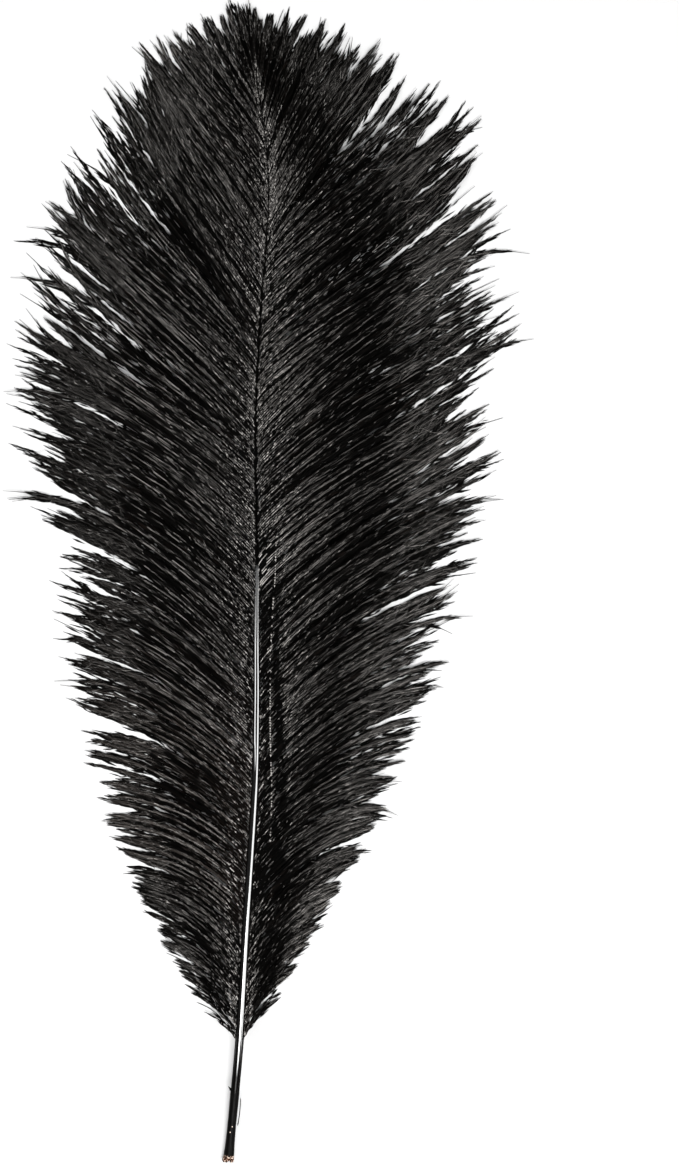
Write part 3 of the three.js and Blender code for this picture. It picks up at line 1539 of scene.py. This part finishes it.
    def frames(self) -> None:
        """Works out the directions to the feather's tip and up, square to each path at every step."""
        forward = unit(np.gradient(self.path, axis=1))
        flat = forward * np.array([1.0, 1.0, 0.0])
        self.tipward = unit(np.cross(np.array([0.0, 0.0, 1.0]), flat)) * self.side.value
        self.upward = unit(np.cross(forward, self.tipward)) * self.side.value

    def rami(self) -> Growth:
        """Makes the barbs' own stems: tapering tubes of three sides, with a flat side on top.

        The flat side rolls a little from barb to barb and in slow waves along each, and more
        at the base of the vane. Stems get painted shade, the near-black matt finish, in the under
        layer, in the patches and trough, and by chance near the shaft. Their tone is lightened by
        painted sheen in the lower vane.

        Returns:
            The stems.
        """
        t, stem, chance = self.t, self.stem, self.chance
        count, rings = self.path.shape[:2]
        thick = stem.radius * (1 - stem.taper * t) * (1 - stem.point_taper * smoothstep(t, *stem.point_over))
        wave = t * self.length[:, None] / chance.uniform(*stem.wave_limits, (count, 1))
        wave = wave + chance.random((count, 1))
        roll = stem.own_roll * self.own_lean[:, None] + stem.wave_roll * np.sin(2 * np.pi * wave)
        base_roll = self.side.value * stem.base_roll * (1 - smoothstep(self.root, *stem.base_roll_over))
        turn = np.radians(np.array(stem.corners) + (roll + base_roll[:, None])[..., None])[..., None]
        beside = np.cos(turn) * self.tipward[:, :, None] * -self.side.value
        above = np.sin(turn) * self.upward[:, :, None]
        points = self.path[:, :, None] + thick[..., None, None] * (beside + above)
        base = tube_faces(rings, len(stem.corners))
        faces = base[None] + (np.arange(count) * rings * len(stem.corners))[:, None, None]
        tone = stem.tone + self.painted_sheen()[:, None, None] + stem.tone_spread * chance.normal(0, 1, (count, 1, 1))
        corner_tones = np.array(stem.corner_tones)[None, None]
        u = np.clip(tone + corner_tones + 0 * t[..., None], *stem.tone_limits)
        v = np.broadcast_to(between(stem.map_ends, t[..., None]), u.shape)
        # Painted shade on stems near the shaft, in the patches and trough, and on under barbs.
        near = (stem.painted_shade - self.painted_sheen())[:, None] * np.exp(-t * self.length[:, None] / stem.painted_shade_reach)
        dark = np.maximum(np.maximum(self.shade(self.path), near), self.under[:, None])
        painted_shade = chance.random((count, rings)) < dark
        finish = painted_shade[:, base[:, 0] // len(stem.corners)].astype(np.int64)
        return Growth(
            points.reshape(-1, 3),
            faces.reshape(-1, 3),
            np.stack([u, v], -1).reshape(-1, 2),
            np.repeat(np.arange(count), len(base)),
            finish.ravel(),
        )

    def at(self, values: Array, barb: Whole, t: Array) -> Array:
        """Reads a per-step array along barbs, straight between steps.

        Args:
            values: rows for every step of every barb.
            barb: the barbs to read.
            t: where to read each, as a share of its length.

        Returns:
            One row for each barb that is read.
        """
        place = t ** (1 / self.step_growth) * self.steps
        low = np.minimum(place.astype(int), self.steps - 1)
        share = (place - low)[:, None]
        return values[barb, low] * (1 - share) + values[barb, low + 1] * share

    def stand(self, coat: Coat) -> Stand:
        """Sets out a layer's barbules along the barbs, a pitch apart and a little loose.

        Every layer thins out from the shaft as the exponential of minus the distance in fades.
        One whose coat thins also does so in bare places and on the under barbs. The last
        millimetres of each barb stay bare.

        Args:
            coat: the layer.

        Returns:
            Where the barbules stand.
        """
        chance, sliver = self.chance, self.sliver
        first = coat.starts * self.length
        count = ((self.length - first) / coat.pitch).astype(int)
        barb = np.repeat(np.arange(self.barbs), count)
        number = np.arange(len(barb)) - (np.cumsum(count) - count)[barb]
        shift = chance.random(self.barbs)[barb] + coat.loose * (chance.random(len(barb)) - 0.5)
        along = first[barb] + (number + shift) * coat.pitch
        along = np.clip(along, 0, sliver.furthest * self.length[barb])
        left = (self.length[barb] - along) / self.bare_tip[barb]
        share = np.exp(-along / coat.fade) * smoothstep(left, *sliver.bare_over)
        kept = chance.random(len(barb)) < share
        barb, along = barb[kept], along[kept]
        point = self.at(self.path, barb, along / self.length[barb])
        missing = np.maximum(self.bare(point), sliver.under_missing * self.under[barb])
        kept = chance.random(len(barb)) >= missing * coat.thins
        barb, along, point = barb[kept], along[kept], point[kept]
        t = along / self.length[barb]
        ends_from = sliver.low_ends_from if coat.level < 0 else sliver.ends_from
        return Stand(
            barb=barb,
            t=t,
            away=smoothstep(along, *sliver.away_over),
            ends=smoothstep(t, ends_from, 1.0),
            out=np.where(chance.random(len(barb)) < 0.5, 1.0, -1.0),
            point=point,
            tipward=self.at(self.tipward, barb, t),
            upward=self.at(self.upward, barb, t),
        )

    def lay(self, coat: Coat, stand: Stand) -> tuple[Array, Array, Array]:
        """Lays a layer's barbules down. Each crosses its barb at a small angle.

        Args:
            coat: the layer.
            stand: where its barbules stand.

        Returns:
            Every barbule's root, its tip and its length.
        """
        chance, sliver, barb, total = self.chance, self.sliver, stand.barb, len(stand.barb)
        beside = stand.out * np.abs(chance.normal(0, 1, total)) * between(coat.beside, stand.away)
        beside = beside * (1 - sliver.end_closer * stand.ends) - sliver.strand_shift * self.in_strand[barb]
        lift = np.where(self.under[barb], sliver.under_lift, 0.0) * (coat.level < 0)
        angle = np.radians(coat.steeper + between(coat.splay, stand.away) * chance.normal(0, 1, total))
        far = between(coat.long, stand.away) * chance.uniform(*sliver.long_limits, total)
        far = far * (1 - sliver.end_shorter * stand.ends)
        aside = np.tan(angle) * far
        root = stand.point + stand.tipward * (beside - aside / 2)[:, None]
        root = root + stand.upward * (coat.level + lift)[:, None]
        reached = np.minimum(stand.t + far / self.length[barb], 1.0)
        rise = sliver.rise * chance.normal(0, 1, total) * far
        tip = self.at(self.path, barb, reached) + (root - stand.point) + stand.upward * rise[:, None]
        tip = tip + stand.tipward * aside[:, None]
        tip[:, 2] = np.maximum(tip[:, 2], sliver.lowest_tip)
        root[:, 2] = np.maximum(root[:, 2], sliver.lowest_root)
        return root, tip, far

    def lean(self, coat: Coat, stand: Stand, aim: Array) -> tuple[Array, Array]:
        """Leans a layer's barbules over.

        The lean goes by chance, by the barb's place in its strand and in slow waves along the
        barb, so that some barbules glint and others stay dark.

        Args:
            coat: the layer.
            stand: where its barbules stand.
            aim: direction from each one's root to its tip.

        Returns:
            Directions across and up from each barbule, square to its aim.
        """
        chance, sliver, barb = self.chance, self.sliver, stand.barb
        wave = self.length[barb] * stand.t / chance.uniform(*sliver.wave_limits, self.barbs)[barb]
        wave = wave + chance.uniform(0, 1, self.barbs)[barb]
        lean = coat.tilt * stand.out + sliver.strand_lean * self.in_strand[barb]
        lean = lean + sliver.wave_lean * np.sin(2 * np.pi * wave) + coat.by_barb * self.own_lean[barb]
        lean = np.radians(lean + coat.lean * chance.normal(0, 1, len(barb)))
        over = stand.upward * np.cos(lean)[:, None] + stand.tipward * np.sin(lean)[:, None]
        cross = unit(np.cross(aim, over))
        return cross, unit(np.cross(cross, aim))

    def barbules(self, coat: Coat) -> Growth:
        """Makes one layer's barbules, each an arched sliver of four faces.

        A sliver's corners are its root, its tip and the two ends of a cross line at its
        arched middle.

        Args:
            coat: the layer.

        Returns:
            The barbules.
        """
        chance, sliver = self.chance, self.sliver
        stand = self.stand(coat)
        total = len(stand.barb)
        root, tip, far = self.lay(coat, stand)
        cross, over = self.lean(coat, stand, unit(tip - root))
        arch = far * (between(coat.arch, stand.away) + sliver.least_arch)
        arch = arch * chance.uniform(*sliver.arch_limits, total)
        middle = root + (tip - root) * chance.uniform(*sliver.middle_limits, total)[:, None]
        middle = middle + over * arch[:, None]
        half = between(coat.half_width, stand.away) * chance.uniform(*sliver.width_limits, total)
        half = (half * (1 - sliver.end_narrower * stand.ends))[:, None]
        points = np.stack([root, tip, middle + cross * half, middle - cross * half], 1)
        points[..., 2] = np.maximum(points[..., 2], sliver.lowest_side)
        turned = np.cross(points[:, 1] - points[:, 0], points[:, 2] - points[:, 0])
        inside_out = np.einsum("ij,ij->i", turned, points[:, 3] - points[:, 0]) < 0
        points[inside_out] = points[inside_out][:, [0, 1, 3, 2]]
        base = np.array([[0, 2, 1], [0, 1, 3], [0, 3, 2], [1, 2, 3]])
        tone = self.tones(coat, stand.barb)[:, None] + np.array(sliver.corner_tones)[None]
        u = np.clip(tone, *sliver.tone_limits)
        v = np.broadcast_to(np.array(sliver.map_along)[None], u.shape)
        return Growth(
            points.reshape(-1, 3),
            (base[None] + 4 * np.arange(total)[:, None, None]).reshape(-1, 3),
            np.stack([u, v], -1).reshape(-1, 2),
            np.repeat(stand.barb, len(base)),
            np.full(len(base) * total, coat.finish),
        )

    def tones(self, coat: Coat, barb: Whole) -> Array:
        """Picks each barbule's tone: its strand's, with chance of its own; top layers are lightened by
        painted sheen in the lower vane.

        Args:
            coat: the layer.
            barb: each barbule's barb.

        Returns:
            Tones from 0, deep black, to 1, pale.
        """
        chance, sliver = self.chance, self.sliver
        strand_tone = chance.normal(0, sliver.strand_tone, self.barbs)[self.strand][barb]
        own = chance.beta(*sliver.tone_shape, len(barb))
        painted_sheen = self.painted_sheen()[barb] * (coat.finish == 0)
        return np.clip(between(coat.tone, own) + strand_tone + painted_sheen, 0.0, 1.0)

    def knees(self) -> Growth:
        """Makes the knees of the crest: one small arched sliver along Y where each barb crosses it.

        Returns:
            The knees.
        """
        crest, chance = self.crest, self.chance
        past = self.past_crest(self.path)
        step = np.argmax(past > 0, axis=1)
        barb = np.arange(self.barbs)
        before, after = past[barb, step - 1], past[barb, step]
        share = np.clip(-before / np.maximum(after - before, 1e-6), 0, 1)[:, None]
        centre = self.path[barb, step - 1] * (1 - share) + self.path[barb, step] * share
        shown = (step > 0) & ~self.under & (crest.window(centre[:, 1]) > chance.random(self.barbs))
        barb, centre = barb[shown], centre[shown]
        total = len(barb)
        half, wide, arch = crest.knee_long / 2, crest.knee_half_width, crest.knee_arch
        corners = np.array([[0, -half, 0], [0, half, 0], [wide, 0, arch], [-wide, 0, arch]], float)
        size = chance.uniform(*crest.knee_sizes, (total, 1, 3))
        points = centre[:, None] + np.array([0.0, 0.0, crest.knee_above]) + corners[None] * size
        base = np.array([[0, 2, 3], [0, 1, 2], [0, 3, 1], [1, 3, 2]])
        # Knees get a paler grey tone, partly painted highlight.
        tone = crest.knee_tone_and_highlight + crest.knee_tone_spread * chance.normal(0, 1, (total, 1))
        corner_tones = np.linspace(-crest.knee_corner_tone, crest.knee_corner_tone, 4)[None]
        u = np.clip(tone + corner_tones, 0, 1)
        v = np.broadcast_to(np.array(crest.knee_map_along)[None], u.shape)
        return Growth(
            points.reshape(-1, 3),
            (base[None] + 4 * np.arange(total)[:, None, None]).reshape(-1, 3),
            np.stack([u, v], -1).reshape(-1, 2),
            np.repeat(barb, len(base)),
            np.zeros(len(base) * total, np.int64),
        )

    def build(self) -> list[bpy.types.Object]:
        """Makes the vane's objects, one for each zone of the shaft, with like counts of faces.

        Returns:
            The objects, from base to tip.
        """
        self.grow()
        self.frames()
        growths = [self.rami()] + [self.barbules(coat) for coat in self.coats]
        if self.crest is not None:
            growths.append(self.knees())
        points, faces = joined([(growth.points, growth.faces) for growth in growths])
        uv = np.concatenate([growth.uv for growth in growths])
        barb = np.concatenate([growth.barb for growth in growths])
        finish = np.concatenate([growth.finish for growth in growths])
        share = np.cumsum(np.bincount(barb, minlength=self.barbs)) / len(faces)
        zone_of_barb = np.minimum((share * len(self.zones)).astype(int), len(self.zones) - 1)
        made = []
        for number, zone in enumerate(self.zones):
            chosen = zone_of_barb[barb] == number
            kept, triangles = np.unique(faces[chosen], return_inverse=True)
            piece = solid_object(
                f"{self.side.name.lower()}_barbs_{zone}",
                points[kept],
                triangles.reshape(-1, 3),
                uv[kept],
                self.finishes,
                False,
                finish[chosen],
            )
            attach(piece, "root")
            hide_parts(f"{self.side.name.lower()}_vane")
            made.append(piece)
        return made


@dataclass(frozen=True)
class Softbox:
    """One rectangular light that faces the middle of the feather, in metres and watts."""

    name: str
    place: Triple
    size: Pair
    power: float

    def hang(self) -> None:
        """Hangs the light."""
        light = bpy.data.lights.new(self.name, "AREA")
        light.shape = "RECTANGLE"
        light.size, light.size_y = self.size
        light.energy = self.power
        made = bpy.data.objects.new(self.name, light)
        made.location = self.place
        made.rotation_euler = Vector(self.place).to_track_quat("Z", "Y").to_euler()
        bpy.context.scene.collection.objects.link(made)


@dataclass
class Stage:
    """Pale floor, four softboxes, faint even light and a camera that looks straight down."""

    frame_middle: Triple = (37.7, 0.0, 8.0)
    frame_height: float = 536.8
    lens: float = 100.0
    sensor: float = 36.0
    clip_end_m: float = 20.0
    floor_size: float = 4000.0
    floor_colour: Colour = (0.51, 0.51, 0.51)
    floor_roughness: float = 0.9
    ambient: float = 0.045
    softboxes: tuple[Softbox, ...] = (
        Softbox("key_light", (0.15, -0.80, 1.40), (0.70, 0.70), 33.0),
        Softbox("right_light", (0.95, -0.30, 1.10), (0.75, 1.40), 18.5),
        Softbox("left_light", (-0.95, 0.50, 1.10), (0.50, 1.20), 18.0),
        Softbox("crown_light", (0.0, 0.24, 1.90), (1.60, 0.50), 5.5),
    )

    def floor(self) -> None:
        """Lays the plain floor."""
        half = self.floor_size / 2 * MM
        mesh = bpy.data.meshes.new("floor")
        corners = [(-half, -half, 0), (half, -half, 0), (half, half, 0), (-half, half, 0)]
        mesh.from_pydata(corners, [], [(0, 1, 2, 3)])
        nodes = Nodes("plain_floor")
        nodes.set("Base Color", self.floor_colour)
        nodes.set("Roughness", self.floor_roughness)
        nodes.set("Specular IOR Level", 0.0)
        mesh.materials.append(nodes.material)
        made = bpy.data.objects.new("floor", mesh)
        bpy.context.scene.collection.objects.link(made)

    def world(self) -> None:
        """Fills the world with faint even light, and shows colours as they are."""
        world = bpy.data.worlds.new("studio")
        world.use_nodes = True
        background = world.node_tree.nodes["Background"]
        background.inputs["Color"].default_value = (*WHITE, 1.0)
        background.inputs["Strength"].default_value = self.ambient
        bpy.context.scene.world = world
        bpy.context.scene.view_settings.view_transform = "Standard"

    def camera(self) -> None:
        """Hangs the camera over the frame's middle, as high as its lens needs."""
        camera = bpy.data.cameras.new("camera")
        camera.lens = self.lens
        camera.sensor_width = self.sensor
        camera.clip_end = self.clip_end_m
        made = bpy.data.objects.new("camera", camera)
        x, y, z = self.frame_middle
        height = self.frame_height * self.lens / self.sensor
        made.location = (x * MM, y * MM, (z + height) * MM)
        bpy.context.scene.collection.objects.link(made)
        bpy.context.scene.camera = made

    def build(self) -> None:
        """Sets the whole stage."""
        self.world()
        self.floor()
        for softbox in self.softboxes:
            softbox.hang()
        self.camera()


# Barb stations: root along Y, length, and heading from +Y at the root, half way and at the tip.
STATIONS = {
    Side.LEFT: np.array(
        [
            (-209.5, 18, 40, 55, 70),
            (-204.0, 34, 34, 50, 68),
            (-182.0, 55, 32, 54, 76),
            (-159.0, 64, 34, 62, 78),
            (-136.0, 71, 40, 66, 84),
            (-110.0, 90, 42, 62, 80),
            (-67.5, 106, 44, 58, 72),
            (-44.0, 115, 42, 54, 74),
            (-21.0, 128, 44, 55, 67),
            (2.0, 130, 42, 56, 70),
            (25.0, 127, 42, 56, 62),
            (48.0, 127, 46, 56, 50),
            (71.0, 132, 42, 47, 42),
            (94.0, 121, 40, 48, 38),
            (117.0, 120, 34, 34, 32),
            (140.0, 112, 34, 33, 26),
            (163.0, 97, 30, 36, 32),
            (186.0, 76, 30, 40, 34),
            (209.0, 57, 26, 32, 30),
            (222.0, 46, 14, 19, 20),
            (234.0, 34, 2, 5, 9),
        ],
        float,
    ),
    Side.RIGHT: np.array(
        [
            (-209.5, 18, 36, 46, 66),
            (-204.0, 36, 30, 41, 64),
            (-182.0, 60, 28, 46, 69),
            (-159.0, 71, 30, 54, 76),
            (-136.0, 75, 32, 58, 82),
            (-110.0, 89, 36, 58, 76),
            (-67.5, 110, 40, 57, 72),
            (-44.0, 118, 42, 56, 72),
            (-21.0, 125, 42, 56, 62),
            (2.0, 127, 42, 58, 54),
            (25.0, 135, 44, 58, 56),
            (48.0, 139, 44, 56, 56),
            (71.0, 140, 42, 52, 58),
            (94.0, 137, 46, 57, 46),
            (117.0, 129, 46, 48, 42),
            (140.0, 114, 40, 53, 45),
            (163.0, 99, 28, 33, 38),
            (186.0, 74, 22, 28, 36),
            (209.0, 53, 15, 18, 26),
            (222.0, 43, 7, 10, 18),
            (234.0, 32, -3, -2, 4),
        ],
        float,
    ),
}

# Darker places on each vane, by thinner, lower layers and painted shade: X, Y, half size across and along,
# and strength.
PATCHES = {
    Side.LEFT: (
        Patch(-7.5, -82.0, 3.6, 13.0, 0.9),
        Patch(-3.0, -50.0, 1.8, 55.0, 0.75),
        Patch(-8.5, -140.0, 5.5, 50.0, 0.85),
        Patch(-17.0, -194.0, 9.0, 20.0, 0.6),
        Patch(-62.0, 15.0, 46.0, 92.0, 0.70),
    ),
    Side.RIGHT: (
        Patch(6.0, -84.0, 5.0, 24.0, 0.6),
        Patch(4.5, -132.0, 12.0, 38.0, 0.97),
        Patch(4.0, -168.0, 10.0, 26.0, 0.85),
        Patch(58.0, 108.0, 52.0, 76.0, 0.68),
    ),
}

# The row of knees, which only the right vane has, and each vane's seed and the painted sheen that lightens
# its lower barbs.
CRESTS = {Side.LEFT: None, Side.RIGHT: Crest()}
SEEDS = {Side.LEFT: 11, Side.RIGHT: 23}
PAINTED_SHEEN_TONES = {Side.LEFT: 0.65, Side.RIGHT: 0.12}


def main() -> None:
    """Builds the shaft, both vanes and the stage, and reports each piece."""
    logging.basicConfig(level=logging.INFO, format="%(message)s")
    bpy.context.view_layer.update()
    shaft = Shaft(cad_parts["shaft"])
    made = [shaft.build()]
    # The second finish is painted shade, for the down under the top barbules.
    finishes = (BarbFinish().material(), PaintedShadeFinish().material("painted_shade_down"))
    for side in Side:
        vane = Vane(
            side,
            shaft,
            STATIONS[side],
            finishes,
            SEEDS[side],
            PATCHES[side],
            CRESTS[side],
            PAINTED_SHEEN_TONES[side],
        )
        made += vane.build()
    for piece in made:
        LOG.info("%s: %d triangles", piece.name, len(piece.data.polygons))
    LOG.info("in all: %d triangles", sum(len(piece.data.polygons) for piece in made))
    Stage().build()


if __name__ == "__main__":
    main()
